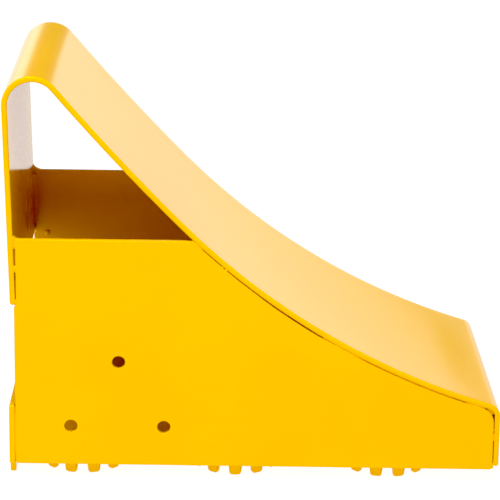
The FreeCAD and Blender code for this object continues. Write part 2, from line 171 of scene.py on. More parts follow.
# How far the welds drew the middle of the tyre face in, and over which lengths that fades out.
FACE_HOLLOW = 1.2
HOLLOW_START = 15.0
HOLLOW_FADE_TOP = 50.0
HOLLOW_FADE_TOE = 30.0

# A run of coat on the strap's inner face and a drop of weld on the far plate.
RUN_RADIUS = 1.15
RUN_TOP = 165.0
RUN_LENGTH = 22.0
RUN_Y = 17.8
RUN_DRIFT = 2.5
DROP_CENTRE = Vector((10.2, 118.7))
DROP_PROFILE = ((2.3, -0.3), (2.25, 0.3), (2.0, 1.0), (1.4, 1.6), (0.5, 1.9))

# Rounding that the coat and the cutting leave on the edges.
SHEET_EDGE = 1.2
SHEET_END = 1.7
PLATE_EDGE = 0.7
CROWN_EDGE = 1.0
END_EDGE_LOSS = 0.4
END_NARROWING = 0.35

# Into how many steps each stretch of the sheet and the side plates is cut.
STRAP_STEPS = 22
HANDLE_STEPS = 30
UPPER_STEPS = 24
FACE_STEPS = 50
BEND_STEPS = 14
TOE_STEPS = 8
WIDTH_STEPS = 26
SEAM_STEPS = 110
STITCH_STEPS = 52
CROWN_STEPS = 440

# ---------------------------------------------------------------- side-view geometry


def polar(angle, radius=1.0):
    """Side-view vector of a length at an angle in degrees."""
    turn = math.radians(angle)
    return Vector((math.cos(turn), math.sin(turn))) * radius


def bearing(start, end):
    """Angle of the way from one side-view point to another, in degrees."""
    return math.degrees(math.atan2(end.y - start.y, end.x - start.x))


def below(centre, reach, x):
    """Point at the given x and distance, under a centre."""
    return Vector((x, centre.y - math.sqrt(reach**2 - (centre.x - x) ** 2)))


def arc_points(centre, radius, start, end, count):
    """Points along an arc, both ends included."""
    return [centre + polar(start + (end - start) * i / count, radius) for i in range(count + 1)]


def line_points(start, end, count):
    """Points along a line, both ends included."""
    return [start.lerp(end, i / count) for i in range(count + 1)]


UPPER_AXIS = TYRE_AXLE + polar(BLEND_ANGLE - 180, UPPER_RADIUS - TYRE_RADIUS)
HANDLE_AXIS = below(UPPER_AXIS, UPPER_RADIUS + HANDLE_RADIUS, HANDLE_X)
HANDLE_BEARING = bearing(HANDLE_AXIS, UPPER_AXIS)
TOE_AXIS = below(TYRE_AXLE, TYRE_RADIUS + TOE_RADIUS, TOE_X)
TOE_BEARING = bearing(TOE_AXIS, TYRE_AXLE)
STRAP_DOWN = polar(STRAP_OUT + 90)
TOE_DOWN = polar(TOE_OUT - 90)


def strap_at(depth, z):
    """Point on the strap at a depth below its outer face and a height."""
    top = HANDLE_AXIS + polar(STRAP_OUT, HANDLE_RADIUS - depth)
    return top + STRAP_DOWN * ((z - top.y) / STRAP_DOWN.y)


def toe_at(depth, z):
    """Point on the toe at a depth below its outer face and a height."""
    top = TOE_AXIS + polar(TOE_OUT, TOE_RADIUS - depth)
    return top + TOE_DOWN * ((z - top.y) / TOE_DOWN.y)


def strap_end(depth):
    """The strap's lowest point at a depth below its outer face."""
    return HANDLE_AXIS + polar(STRAP_OUT, HANDLE_RADIUS - depth) + STRAP_DOWN * STRAP_LENGTH


def toe_end(depth):
    """The toe's lowest point at a depth below its outer face."""
    return TOE_AXIS + polar(TOE_OUT, TOE_RADIUS - depth) + TOE_DOWN * TOE_LENGTH


def place(point, y):
    """Side-view point at a width, in the chock's frame."""
    return Vector((point.x + ORIGIN_X, y, point.y + ORIGIN_Z))


def in_space(vector):
    """Side-view direction in the chock's frame."""
    return Vector((vector.x, 0, vector.y))


# ---------------------------------------------------------------- meshes


class Shell:
    """Points and faces of one piece while it is being built."""

    def __init__(self):
        self.points = []
        self.faces = []

    def ring(self, points):
        """Add a loop of points and return their numbers."""
        first = len(self.points)
        self.points += points
        return list(range(first, first + len(points)))

    def strip(self, one, other):
        """Quads between two closed loops of equal length."""
        count = len(one)
        for i in range(count):
            j = (i + 1) % count
            self.faces.append((one[i], one[j], other[j], other[i]))

    def skin(self, rings, closed=False):
        """Quads along a run of loops; the two ends are capped unless the run is closed."""
        numbers = [self.ring(points) for points in rings]
        for one, other in zip(numbers, numbers[1:]):
            self.strip(one, other)
        if closed:
            self.strip(numbers[-1], numbers[0])
        else:
            self.faces.append(tuple(numbers[0]))
            self.faces.append(tuple(numbers[-1]))

    def fill(self, loops):
        """Triangles over a flat outline with holes, given as loops of point numbers."""
        numbers = [number for loop in loops for number in loop]
        corners = [[self.points[number] for number in loop] for loop in loops]
        for triangle in tessellate_polygon(corners):
            self.faces.append(tuple(numbers[i] for i in triangle))


def make_piece(node, shell, material, sharp_angle=40.0):
    """Turn a shell into a piece that stands for a CAD node."""
    mesh = bpy.data.meshes.new("coated_" + node)
    work = bmesh.new()
    corners = [work.verts.new(point * MM) for point in shell.points]
    for face in shell.faces:
        work.faces.new([corners[i] for i in face])
    bmesh.ops.recalc_face_normals(work, faces=work.faces)
    work.to_mesh(mesh)
    work.free()
    mesh.shade_smooth()
    mesh.set_sharp_from_angle(angle=math.radians(sharp_angle))
    mesh.materials.append(material)
    piece = bpy.data.objects.new("coated_" + node, mesh)
    scene.collection.objects.link(piece)
    shading = piece.modifiers.new("Weighted normals", "WEIGHTED_NORMAL")
    shading.keep_sharp = True
    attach(piece, "root")
    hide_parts(node)
    return piece


def round_over(radius, steps=3):
    """(inset, depth) pairs from a flat face round its edge to the side."""
    turns = [math.pi / 2 * i / steps for i in range(steps + 1)]
    return [(radius * (1 - math.sin(t)), radius * (1 - math.cos(t))) for t in turns]


# ---------------------------------------------------------------- the bent sheet


def sheet_stations():
    """(point, outward normal) down the outer face, from the strap's end to the toe's end."""
    strap_normal, toe_normal = polar(STRAP_OUT), polar(TOE_OUT)
    strap_top = HANDLE_AXIS + strap_normal * HANDLE_RADIUS
    toe_top = TOE_AXIS + toe_normal * TOE_RADIUS
    strap = line_points(strap_end(0), strap_top, STRAP_STEPS)[:-1]
    stations = [(p, strap_normal) for p in strap]
    runs = [
        (HANDLE_AXIS, HANDLE_RADIUS, STRAP_OUT, HANDLE_BEARING, HANDLE_STEPS, 1),
        (UPPER_AXIS, UPPER_RADIUS, HANDLE_BEARING + 180, BLEND_ANGLE, UPPER_STEPS, -1),
        (TYRE_AXLE, TYRE_RADIUS, BLEND_ANGLE, TOE_BEARING + 180, FACE_STEPS, -1),
        (TOE_AXIS, TOE_RADIUS, TOE_BEARING, TOE_OUT, BEND_STEPS, 1),
    ]
    for axis, radius, start, end, count, side in runs:
        for point in arc_points(axis, radius, start, end, count)[:-1]:
            stations.append((point, (point - axis).normalized() * side))
    stations += [(p, toe_normal) for p in line_points(toe_top, toe_end(0), TOE_STEPS)]
    return stations


def rounded_ends(stations, radius, steps=4):
    """(point, normal, inset) rows whose first and last few draw in to a round end."""
    rows = [(point, normal, 0.0) for point, normal in stations]
    for end, step in ((0, 1), (-1, -1)):
        point, normal = rows[end][:2]
        inward = (rows[end + step][0] - point).normalized()
        cap = []
        for i in range(steps + 1):
            turn = math.pi / 2 * i / steps
            along = radius * (1 - math.cos(turn))
            cap.append((point + inward * along, normal, radius * (1 - math.sin(turn))))
        rows = cap + rows[1:] if end == 0 else rows[:-1] + cap[::-1]
    return rows


def sheet_section(inset, corner_steps=4):
    """Closed (y, depth) loop round the sheet, thinned by an inset near its ends."""
    radius = SHEET_EDGE - inset * END_EDGE_LOSS
    half = HALF_WIDTH - inset * END_NARROWING - radius
    shallow = min(inset + radius, WALL / 2)
    deep = WALL - shallow
    reach = min(radius, WALL / 2 - inset)
    corners = (
        (half, shallow, 0),
        (-half, shallow, 90),
        (-half, deep, 180),
        (half, deep, 270),
    )
    flats = {0: shallow - reach, 180: deep + reach}
    loop = []
    for y, depth, start in corners:
        for i in range(corner_steps + 1):
            turn = math.radians(start + 90 * i / corner_steps)
            loop.append((y + reach * math.cos(turn), depth - reach * math.sin(turn)))
        if start in flats:
            steps = range(1, WIDTH_STEPS)
            loop += [(y * (1 - 2 * i / WIDTH_STEPS), flats[start]) for i in steps]
    return loop


def smooth(value):
    """0 below 0, 1 above 1 and an even curve between."""
    t = max(0.0, min(1.0, value))
    return t * t * (3 - 2 * t)


def face_hollow(x):
    """How far the middle of the sheet lies in at a place along the chock."""
    top = smooth((x - HOLLOW_START) / HOLLOW_FADE_TOP)
    toe = smooth((TOE_X - x) / HOLLOW_FADE_TOE)
    return FACE_HOLLOW * top * toe


def make_sheet(material):
    """The bent strip; its welded edges have drawn the tyre face very slightly hollow."""
    shell = Shell()
    rings = []
    for point, normal, inset in rounded_ends(sheet_stations(), SHEET_END):
        hollow = face_hollow(point.x)
        ring = []
        for y, depth in sheet_section(inset):
            sag = hollow * (1 - (y / HALF_WIDTH) ** 2)
            ring.append(place(point - normal * (depth + sag), y))
        rings.append(ring)
    shell.skin(rings)
    return make_piece("face_and_handle_sheet", shell, material)


# ---------------------------------------------------------------- flat plates


def offset_loop(loop, inset):
    """A closed loop of flat points moved inward (to its left) by an inset."""
    moved = []
    count = len(loop)
    for i, point in enumerate(loop):
        back = (point - loop[i - 1]).normalized()
        ahead = (loop[(i + 1) % count] - point).normalized()
        left = Vector((-(back.y + ahead.y), back.x + ahead.x)).normalized()
        miter = left.dot(Vector((-back.y, back.x)))
        moved.append(point + left * (inset / max(miter, 0.4)))
    return moved


def plate_shell(outline, holes, thickness, edge, to_space):
    """Flat plate with rounded edges: anticlockwise outline, circular holes as (centre, radius)."""
    shell = Shell()
    profile = round_over(edge)
    rows = profile + [(inset, thickness - depth) for inset, depth in reversed(profile)]

    def rings_of(loop_at):
        return [shell.ring([to_space(p, depth) for p in loop_at(inset)]) for inset, depth in rows]

    runs = [rings_of(lambda inset: offset_loop(outline, inset))]
    for centre, radius in holes:
        runs.append(rings_of(lambda inset: arc_points(centre, radius + inset, 0, 360, 48)[:-1]))
    for rings in runs:
        for one, other in zip(rings, rings[1:]):
            shell.strip(one, other)
    shell.fill([rings[0] for rings in runs])
    shell.fill([rings[-1] for rings in runs])
    return shell


def without_repeats(points, nearest=0.02):
    """The loop with points that coincide with the one before left out."""
    kept = []
    for point in points:
        if not kept or (point - kept[-1]).length > nearest:
            kept.append(point)
    if (kept[0] - kept[-1]).length < nearest:
        kept.pop()
    return kept


def face_gap(x):
    """Width of the open seam under the tyre face: a hair at the top, widest in the middle."""
    for start, end, one, other in SEAM_RUNS:
        if x <= end:
            return one + (other - one) * smooth((x - start) / (end - start))
    return SEAM_RUNS[-1][3]


def corner_centre(face_depth, toe_depth, radius):
    """Centre of a corner that touches the face and the toe, each at its own depth."""
    start = TOE_AXIS + polar(TOE_OUT, TOE_RADIUS - toe_depth - radius)
    away = start - TYRE_AXLE
    reach = TYRE_RADIUS + face_depth + radius
    along = away.dot(TOE_DOWN)
    return start + TOE_DOWN * (math.sqrt(along**2 - away.dot(away) + reach**2) - along)


def side_outline():
    """Anticlockwise outline of a side plate."""
    small = PLATE_BOTTOM_CORNER
    toe_depth = WALL + TOE_GAP
    corner = corner_centre(WALL + SEAM_RUNS[-1][3], toe_depth, PLATE_TOE_CORNER)
    reach = TYRE_RADIUS + WALL + SEAM_GAP
    rise = TYRE_AXLE.y - SIDE_HEIGHT
    face_top = Vector((TYRE_AXLE.x - math.sqrt(reach**2 - rise**2), SIDE_HEIGHT))
    start, end = bearing(TYRE_AXLE, corner), bearing(TYRE_AXLE, face_top)
    face = arc_points(TYRE_AXLE, reach, start, end, SEAM_STEPS)
    toe_foot = toe_at(toe_depth, small)
    points = arc_points(Vector((small, small)), small, 180, 270, 6)
    points += arc_points(Vector((toe_foot.x - small, small)), small, 270, 360, 6)
    points += [toe_foot]
    points += arc_points(
        corner, PLATE_TOE_CORNER, TOE_OUT, bearing(corner, TYRE_AXLE), BEND_STEPS
    )
    for point in face:
        outward = (point - TYRE_AXLE).normalized()
        points.append(TYRE_AXLE + outward * (TYRE_RADIUS + WALL + face_gap(point.x)))
    points += [
        Vector((PLATE_HEEL_STEP, SIDE_HEIGHT)),
        Vector((PLATE_HEEL_STEP, PLATE_STEP_HEIGHT + PLATE_HEEL_STEP)),
        Vector((0, PLATE_STEP_HEIGHT)),
    ]
    return without_repeats(points)


def make_side_plate(side, sign, material):
    """Side plate whose outer face is at the chock's half width."""
    outer = sign * HALF_WIDTH
    shell = plate_shell(
        side_outline(),
        [(centre, HOLE_RADIUS) for centre in HOLES],
        WALL,
        PLATE_EDGE,
        lambda p, depth: place(p, outer - sign * depth),
    )
    return make_piece(f"side_plate_{side}", shell, material)


def make_base_plate(material):
    """Flat plate between the side plates, as large as its CAD node."""
    low, high = BASE_LOW, BASE_HIGH
    corners = [(low.x, low.y), (high.x, low.y), (high.x, high.y), (low.x, high.y)]
    shell = plate_shell(
        [Vector(corner) for corner in corners],
        [],
        high.z - low.z,
        PLATE_EDGE,
        lambda p, depth: Vector((p.x, p.y, low.z + depth)),
    )
    return make_piece("base_plate", shell, material)


def rounded_loop(corners, steps=5):
    """Closed loop with arcs round corners that are given as (point, radius)."""
    points = [point for point, _ in corners]
    loop = []
    for i, (point, radius) in enumerate(corners):
        back = (points[i - 1] - point).normalized()
        ahead = (points[(i + 1) % len(points)] - point).normalized()
        half = math.acos(max(-1.0, min(1.0, back.dot(ahead)))) / 2
        if not radius:
            loop.append(point)
            continue
        centre = point + (back + ahead).normalized() * (radius / math.sin(half))
        start = point + back * (radius / math.tan(half)) - centre
        end = point + ahead * (radius / math.tan(half)) - centre
        for j in range(steps + 1):
            loop.append(centre + start.normalized().slerp(end.normalized(), j / steps) * radius)
    return loop


def heel_outline():
    """Anticlockwise (y, z) outline of the heel plate, seen from +X."""
    half = HEEL_HIGH.y
    top = HEEL_HIGH.z - ORIGIN_Z
    first = -half + HEEL_TOOTH_INSET + HEEL_TOOTH_WIDTH / 2
    pitch = -2 * first / (HEEL_TEETH - 1)
    tip_half = HEEL_TOOTH_WIDTH / 2
    root_half = tip_half + HEEL_TOOTH_FLANK
    corners = [(Vector((-half, top)), HEEL_ROOT_CORNER), (Vector((-half, 0)), HEEL_ROOT_CORNER)]
    for i in range(HEEL_TEETH):
        middle = first + i * pitch
        corners += [
            (Vector((middle - root_half, 0)), HEEL_ROOT_CORNER),
            (Vector((middle - tip_half, -CROWN_DROP)), TIP_CORNER),
            (Vector((middle + tip_half, -CROWN_DROP)), TIP_CORNER),
            (Vector((middle + root_half, 0)), HEEL_ROOT_CORNER),
        ]
    corners += [(Vector((half, 0)), HEEL_ROOT_CORNER), (Vector((half, top)), HEEL_ROOT_CORNER)]
    return rounded_loop(corners)


def make_heel_plate(material):
    """Upright plate across the heel, with its teeth down."""
    low = HEEL_LOW.x
    shell = plate_shell(
        heel_outline(),
        [],
        HEEL_HIGH.x - low,
        PLATE_EDGE,
        lambda p, depth: Vector((low + depth, p.x, p.y + ORIGIN_Z)),
    )
    return make_piece("heel_plate", shell, material)


# ---------------------------------------------------------------- toothed crowns


def tooth_wave():
    """(distance, z) points along the lower edge of one tooth and gap, mid gap to mid gap."""
    pitch = 2 * math.pi * CROWN_RADIUS / CROWN_TEETH
    tip_half = CROWN_TOOTH_WIDTH / 2
    root_half = tip_half + CROWN_TOOTH_FLANK
    root = CROWN_TOOTH_HEIGHT - CROWN_DROP
    above = root + CROWN_TOOTH_HEIGHT
    corners = [
        (Vector((-root_half, root)), TIP_CORNER),
        (Vector((-tip_half, -CROWN_DROP)), TIP_CORNER),
        (Vector((tip_half, -CROWN_DROP)), TIP_CORNER),
        (Vector((root_half, root)), TIP_CORNER),
        (Vector((pitch / 2, root)), 0),
        (Vector((pitch / 2, above)), 0),
        (Vector((-pitch / 2, above)), 0),
        (Vector((-pitch / 2, root)), 0),
    ]
    loop = rounded_loop(corners, 6)
    wave = [point for point in loop if point.y < (root + above) / 2]
    return [wave[-1]] + wave[:-1]


def flat_teeth():
    """The crown's toothed edge unrolled flat, once round."""
    pitch = 2 * math.pi * CROWN_RADIUS / CROWN_TEETH
    wave = tooth_wave()[:-1]
    return [Vector((p.x + i * pitch, p.y)) for i in range(CROWN_TEETH) for p in wave]


def raised(strip, inset):
    """The toothed edge moved up into the metal by an inset."""
    length = Vector((2 * math.pi * CROWN_RADIUS, 0))
    closed = [strip[-1] - length] + strip + [strip[0] + length]
    rows = []
    for i in range(1, len(closed) - 1):
        back = (closed[i] - closed[i - 1]).normalized()
        ahead = (closed[i + 1] - closed[i]).normalized()
        left = Vector((-(back.y + ahead.y), back.x + ahead.x)).normalized()
        rows.append(closed[i] + left * inset)
    return rows


def make_crown(node, turn, material):
    """Ring of teeth wrapped from a flat strip; the wave is offset for the rounded edges."""
    low, high = box_mm(node)
    centre = (low + high) / 2
    strip = flat_teeth()
    flat_top = [Vector((p.x, 0)) for p in strip]

    def wrap(rows, radius):
        ring = []
        for p in rows:
            angle = turn + math.radians(-90) + p.x / CROWN_RADIUS
            x = centre.x + radius * math.cos(angle)
            y = centre.y + radius * math.sin(angle)
            ring.append(Vector((x, y, p.y + ORIGIN_Z)))
        return ring

    inner = CROWN_RADIUS - CROWN_WALL
    edge = round_over(CROWN_EDGE)
    rings = [wrap(flat_top, CROWN_RADIUS)]
    rings += [wrap(raised(strip, inset), CROWN_RADIUS - depth) for inset, depth in edge]
    rings += [wrap(raised(strip, inset), inner + depth) for inset, depth in reversed(edge)]
    rings.append(wrap(flat_top, inner))
    shell = Shell()
    shell.skin(rings, closed=True)
    return make_piece(node, shell, material)


# ---------------------------------------------------------------- weld beads

# A bead's depth behind its corner, how full its section is, and how far its ripples trail.
BEAD_ROOT = 0.3
BEAD_BELLY = 0.66
RIPPLE_TRAIL = 0.45

# Slow swelling along a bead: its size, how far apart, and how thin the ends become.
SWELL = 0.05
SWELL_REACH = 5.1
BEAD_TIP = 0.12
RIPPLE_PITCH = 2.3


def bead_ring(corner, first, second, scale, phase, ripple):
    """Loop round a fillet weld's section, with curved ripples that trail in its middle."""
    steps = 8
    loop = [corner - (first.normalized() + second.normalized()) * BEAD_ROOT]
    middle = (first + second) * BEAD_BELLY
    for i in range(steps + 1):
        t = i / steps
        swell = first * (1 - t) ** 2 + middle * (2 * t * (1 - t)) + second * t**2
        trail = 1 - (2 * t - 1) ** 2
        wave = abs(math.sin(math.pi * (phase + RIPPLE_TRAIL * trail)))
        height = ripple * (wave - 0.6) * (0.35 + 0.65 * trail)
        loop.append(corner + swell * (scale * (1 + height)))
    return loop


def add_bead(shell, stations, rng, ripple_pitch=RIPPLE_PITCH, ripple=0.10, closed=False):
    """Sweep a bead along (corner, first leg, second leg) stations."""
    travelled = 0.0
    lengths = [0.0]
    for one, other in zip(stations, stations[1:]):
        travelled += (other[0] - one[0]).length
        lengths.append(travelled)
    leg = stations[0][1].length
    start = rng.uniform(0, 1)
    sway = rng.uniform(0, 6.28)
    rings = []
    for (corner, first, second), at in zip(stations, lengths):
        scale = 1 + SWELL * math.sin(at / SWELL_REACH + sway)
        if not closed:
            near = min(at, travelled - at) / leg
            if near < 1:
                scale *= max(math.sqrt(1 - (1 - near) ** 2), BEAD_TIP)
        phase = start + at / ripple_pitch
        rings.append(bead_ring(corner, first, second, scale, phase, ripple))
    shell.skin(rings, closed)


def straight_stations(corner, first, second, run, step=0.5):
    """Stations of a bead from a corner along a straight run."""
    count = max(int(run.length / step), 8)
    return [(corner + run * (i / count), first, second) for i in range(count + 1)]


def stitches(start, end, length, count):
    """Start positions of evenly spread stitches between two places."""
    step = (end - start - length) / (count - 1)
    return [start + index * step for index in range(count)]


def add_bridge(shell, path, across, deep, sign, recess=BRIDGE_RECESS):
    """Spot where the weld shows through an open seam: a lens along a run of (point, normal)."""
    sides = 12
    count = len(path) - 1
    rings = []
    for i, (point, normal) in enumerate(path):
        t = abs(2 * i / count - 1)
        scale = max(math.sqrt(max(1 - t**3, 0)), 0.1)
        ring = []
        for j in range(sides):
            turn = 2 * math.pi * j / sides
            side = normal * (across * max(scale, 0.75) * math.cos(turn))
            y = sign * (HALF_WIDTH - recess - deep + deep * scale * math.sin(turn))
            ring.append(place(point + side, y))
        rings.append(ring)
    shell.skin(rings)


def face_path(start_x, end_x, steps=14):
    """(point, normal) run along the middle of the ramp seam between two x places."""
    radius = TYRE_RADIUS + WALL + SEAM_GAP / 2
    run = []
    for i in range(steps + 1):
        point = below(TYRE_AXLE, radius, start_x + (end_x - start_x) * i / steps)
        run.append((point, (TYRE_AXLE - point).normalized()))
    return run


def toe_path(start_z, end_z, steps=12):
    """(point, normal) run along the middle of the gap between the toe and a side plate."""
    heights = [start_z + (end_z - start_z) * i / steps for i in range(steps + 1)]
    return [(toe_at(WALL + TOE_GAP / 2, z), polar(TOE_OUT)) for z in heights]


def strap_path(start_z, end_z, steps=12):
    """(point, normal) run along the middle of the gap between the strap and a side plate."""
    run = []
    for i in range(steps + 1):
        z = start_z + (end_z - start_z) * i / steps
        point = (strap_at(WALL, z) + Vector((PLATE_HEEL_STEP, z))) / 2
        run.append((point, polar(STRAP_OUT)))
    return run


def face_seam_shell(sign, rng):
    """Stitches inside the seam under the tyre face, and the stretches that weld closes."""
    shell = Shell()
    radius = TYRE_RADIUS + WALL
    sweep = math.degrees(STITCH / radius)
    low = bearing(TYRE_AXLE, SEAM_TOP)
    high = bearing(TYRE_AXLE, SEAM_FOOT)
    inward = Vector((0, -sign * WELD_LEG, 0))
    for start in stitches(low, high, sweep, 5):
        stations = []
        for i in range(STITCH_STEPS + 1):
            angle = start + sweep * i / STITCH_STEPS
            corner = place(TYRE_AXLE + polar(angle, radius), sign * INNER_Y)
            stations.append((corner, in_space(polar(angle, WELD_LEG + SEAM_GAP)), inward))
        add_bead(shell, stations, rng)
    across = SEAM_GAP / 2 + BRIDGE_OVERLAP
    for start_x, end_x in FACE_CLOSED:
        add_bridge(shell, face_path(start_x, end_x), across, BRIDGE_DEPTH, sign)
    shallow, deeper = face_path(*FACE_SHALLOW, 24), face_path(*FACE_DEEPER, 48)
    add_bridge(shell, shallow, across, BRIDGE_DEPTH, sign, SHALLOW_RECESS)
    add_bridge(shell, deeper, across, BRIDGE_DEPTH, sign, DEEPER_RECESS)
    return shell


def toe_shell(sign, rng):
    """Inside bead, bridges in the gap, and the sunk weld in the crescent behind the toe bend."""
    shell = Shell()
    corner = place(toe_at(WALL, TOE_BEAD_TOP), sign * INNER_Y)
    away = in_space(polar(TOE_OUT, -(WELD_LEG + SEAM_GAP)))
    inward = Vector((0, -sign * WELD_LEG, 0))
    run = in_space(TOE_DOWN) * TOE_BEAD_LENGTH
    add_bead(shell, straight_stations(corner, away, inward, run), rng)
    for start_z, end_z in TOE_CLOSED:
        path = toe_path(start_z, end_z)
        add_bridge(shell, path, TOE_GAP / 2 + BRIDGE_OVERLAP, BRIDGE_DEPTH, sign)
    start = TOE_BEARING + CRESCENT_LEAD
    steps = range(CRESCENT_STEPS + 1)
    angles = [start - CRESCENT_TURN * i / CRESCENT_STEPS for i in steps]
    middle = TOE_RADIUS - WALL - CRESCENT_DEPTH
    bend = [(TOE_AXIS + polar(angle, middle), polar(angle)) for angle in angles]
    add_bridge(shell, bend, CRESCENT_ACROSS, CRESCENT_THICK, sign, CRESCENT_RECESS)
    return shell


def strap_shell(sign, rng):
    """Slim bead down the inside, bridges in the gap, and the hollow bead on the top edge."""
    shell = Shell()
    inward = Vector((0, -sign * STRAP_BEAD_INWARD, 0))
    away = in_space(polar(STRAP_OUT, -STRAP_BEAD_AWAY))
    start = strap_at(WALL, SIDE_HEIGHT - STRAP_BEAD_TOP_CLEAR)
    drop = start.y - strap_end(WALL).y - STRAP_BEAD_END_CLEAR
    run = in_space(STRAP_DOWN) * drop
    bead = straight_stations(place(start, sign * INNER_Y), away, inward, run)
    add_bead(shell, bead, rng, ripple=STRAP_BEAD_RIPPLE)
    for start_z, end_z in STRAP_CLOSED + (STRAP_CLOSED_LOW[sign],):
        path = strap_path(start_z, end_z)
        add_bridge(shell, path, STRAP_BRIDGE_ACROSS, STRAP_BRIDGE_DEPTH, sign)
    add_cusp(shell, sign, CUSP_SIZE[sign])
    if sign > 0:
        add_drop(shell)
        add_run(shell)
    return shell


# Depth below the side plate's outer face, and the share of the full section there.
CUSP_ROWS = ((0.35, 0.86), (0.6, 0.95), (1.1, 1.0), (3.0, 1.0), (3.6, 0.94), (3.9, 0.8))


def add_cusp(shell, sign, size):
    """Hollow weld where the strap meets a side plate's top edge."""
    foot = strap_at(WALL, SIDE_HEIGHT)
    head = strap_at(WALL, SIDE_HEIGHT + size)
    end = Vector((PLATE_HEEL_STEP + size, SIDE_HEIGHT))
    hollow = foot + (head - foot + end - foot) * CUSP_HOLLOW
    steps = 9
    rings = []
    for depth, shrink in CUSP_ROWS:
        y = sign * (HALF_WIDTH - depth)
        loop = [foot + Vector((-0.5, -0.6))]
        for i in range(steps + 1):
            t = i / steps
            point = head * (1 - t) ** 2 + hollow * (2 * t * (1 - t)) + end * t**2
            loop.append(foot + (point - foot) * shrink)
        rings.append([place(point, y) for point in loop])
    shell.skin(rings)


def add_drop(shell):
    """Drop of weld on the inside of the far side plate, beside the strap."""
    centre = place(DROP_CENTRE, INNER_Y)
    sides = 16
    rings = []
    for radius, rise in DROP_PROFILE:
        ring = []
        for i in range(sides):
            turn = 2 * math.pi * i / sides
            offset = Vector((radius * math.cos(turn), -rise, radius * math.sin(turn)))
            ring.append(centre + offset)
        rings.append(ring)
    shell.skin(rings)


def add_run(shell):
    """Thin run of coat down the strap's inner face, which starts fine and ends round."""
    steps = 24
    sides = 10
    rings = []
    for i in range(steps + 1):
        t = i / steps
        middle = strap_at(WALL, RUN_TOP - RUN_LENGTH * t)
        taper = 0.35 + 0.65 * smooth(1.6 * t)
        size = RUN_RADIUS * taper * math.sqrt(max(1 - t**8, 0.05))
        ring = []
        for j in range(sides):
            turn = 2 * math.pi * j / sides
            out = Vector((size * math.cos(turn), 0))
            y = RUN_Y + RUN_DRIFT * t + size * math.sin(turn)
            ring.append(place(middle + out, y))
        rings.append(ring)
    shell.skin(rings)


def heel_shell(sign, rng):
    """Bead inside the heel plate's corner, and the weld that closes its gap."""
    shell = Shell()
    gap = ORIGIN_X - HEEL_HIGH.x
    corner = Vector((HEEL_HIGH.x, sign * INNER_Y, ORIGIN_Z + WALL + HEEL_BEAD_FOOT))
    away = Vector((WELD_LEG + gap, 0, 0))
    inward = Vector((0, -sign * WELD_LEG, 0))
    run = Vector((0, 0, HEEL_BEAD_LENGTH))
    add_bead(shell, straight_stations(corner, away, inward, run), rng)
    seam = [(Vector((-gap / 2, z)), Vector((1, 0))) for z in range(*HEEL_CLOSED)]
    add_bridge(shell, seam, gap / 2 + BRIDGE_OVERLAP, BRIDGE_DEPTH, sign, HEEL_RECESS)
    return shell


def base_side_shell(sign, rng):
    """Stitches along one side of the base plate, on its upper face."""
    shell = Shell()
    up = Vector((0, 0, WELD_LEG))
    clearance = INNER_Y - BASE_HIGH.y
    inward = Vector((0, -sign * (WELD_LEG + clearance), 0))
    start, end = BASE_LOW.x + BASE_BEAD_CLEAR, BASE_HIGH.x - BASE_BEAD_CLEAR
    for x in stitches(start, end, STITCH, 6):
        corner = Vector((x, sign * INNER_Y, BASE_HIGH.z))
        add_bead(shell, straight_stations(corner, up, inward, Vector((STITCH, 0, 0))), rng)
    return shell


def base_end_shell(corner_x, first, second, rng):
    """Three stitches across the base plate's end."""
    shell = Shell()
    reach = INNER_Y - 2 * WELD_LEG
    for y in stitches(-reach, reach, STITCH, 3):
        corner = Vector((corner_x, y, BASE_HIGH.z))
        add_bead(shell, straight_stations(corner, first, second, Vector((0, STITCH, 0))), rng)
    return shell


def crown_ring_shell(crowns, rng):
    """Ring weld round the outside of each crown, under the base plate."""
    shell = Shell()
    down = Vector((0, 0, -CROWN_WELD_LEG))
    for node in crowns:
        low, high = box_mm(node)
        centre = Vector(((low.x + high.x) / 2, (low.y + high.y) / 2, ORIGIN_Z))
        stations = []
        for i in range(CROWN_STEPS):
            angle = 2 * math.pi * i / CROWN_STEPS
            out = Vector((math.cos(angle), math.sin(angle), 0))
            stations.append((centre + out * CROWN_RADIUS, out * CROWN_WELD_LEG, down))
        ripple_pitch = 2 * math.pi * CROWN_RADIUS / CROWN_RIPPLES
        add_bead(shell, stations, rng, ripple_pitch, closed=True)
    return shell


def make_welds(material, crowns):
    """Every group of beads, from one seeded run of small irregularities."""
    rng = random.Random(WELD_SEED)
    makers = {
        "face_seam_welds": face_seam_shell,
        "toe_weld": toe_shell,
        "strap_welds": strap_shell,
        "heel_plate_weld": heel_shell,
        "base_plate_welds": base_side_shell,
    }
    shells = {}
    for side, sign in (("right", -1), ("left", 1)):
        for name, maker in makers.items():
            shells[f"{name}_{side}"] = maker(sign, rng)
    up = Vector((0, 0, WELD_LEG))
    heel_reach = Vector((BASE_LOW.x - HEEL_HIGH.x + WELD_LEG, 0, 0))
    shells["base_to_heel_welds"] = base_end_shell(HEEL_HIGH.x, up, heel_reach, rng)
    foot = place(toe_at(WALL, WALL), 0)
    toe_reach = Vector((BASE_HIGH.x - foot.x - WELD_LEG, 0, 0))
    shells["base_to_toe_welds"] = base_end_shell(foot.x, up, toe_reach, rng)
    shells["crown_ring_welds"] = crown_ring_shell(crowns, rng)
    for node, shell in shells.items():
        make_piece(node, shell, material, 60.0)


# ---------------------------------------------------------------- materials


